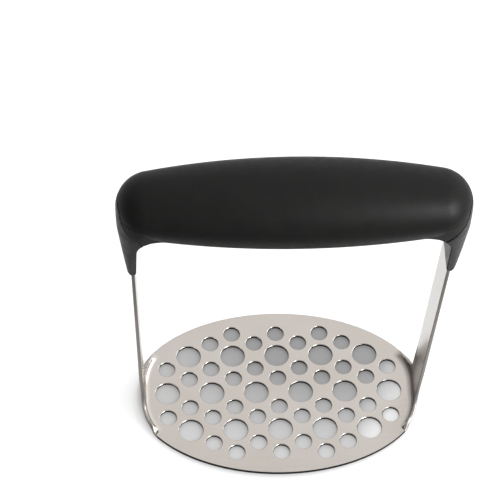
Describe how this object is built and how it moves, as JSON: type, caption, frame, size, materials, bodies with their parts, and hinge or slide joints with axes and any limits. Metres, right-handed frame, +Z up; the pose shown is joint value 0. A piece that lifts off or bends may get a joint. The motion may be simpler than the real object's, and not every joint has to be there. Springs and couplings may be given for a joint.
{
  "type": "potato masher",
  "caption": "Press-down potato masher: perforated oval steel plate turned up into two flat legs, with a soft horizontal grip across the top.",
  "frame": {"origin": "centre of the plate's underside, on the surface that the masher stands on", "axes": "+Z up towards the grip, X along the grip, Y across it"},
  "size_m": [0.1364, 0.0776, 0.1571],
  "materials": {
    "steel": "polished stainless sheet with fine handling marks",
    "core_plastic": "fine moulded texture, dark grey",
    "grip_rubber": "soft matte black"
  },
  "bodies": {
    "root": {"blade": "steel", "handle_core": "core_plastic", "grip_sleeve": "grip_rubber"}
  },
  "joints": []
}
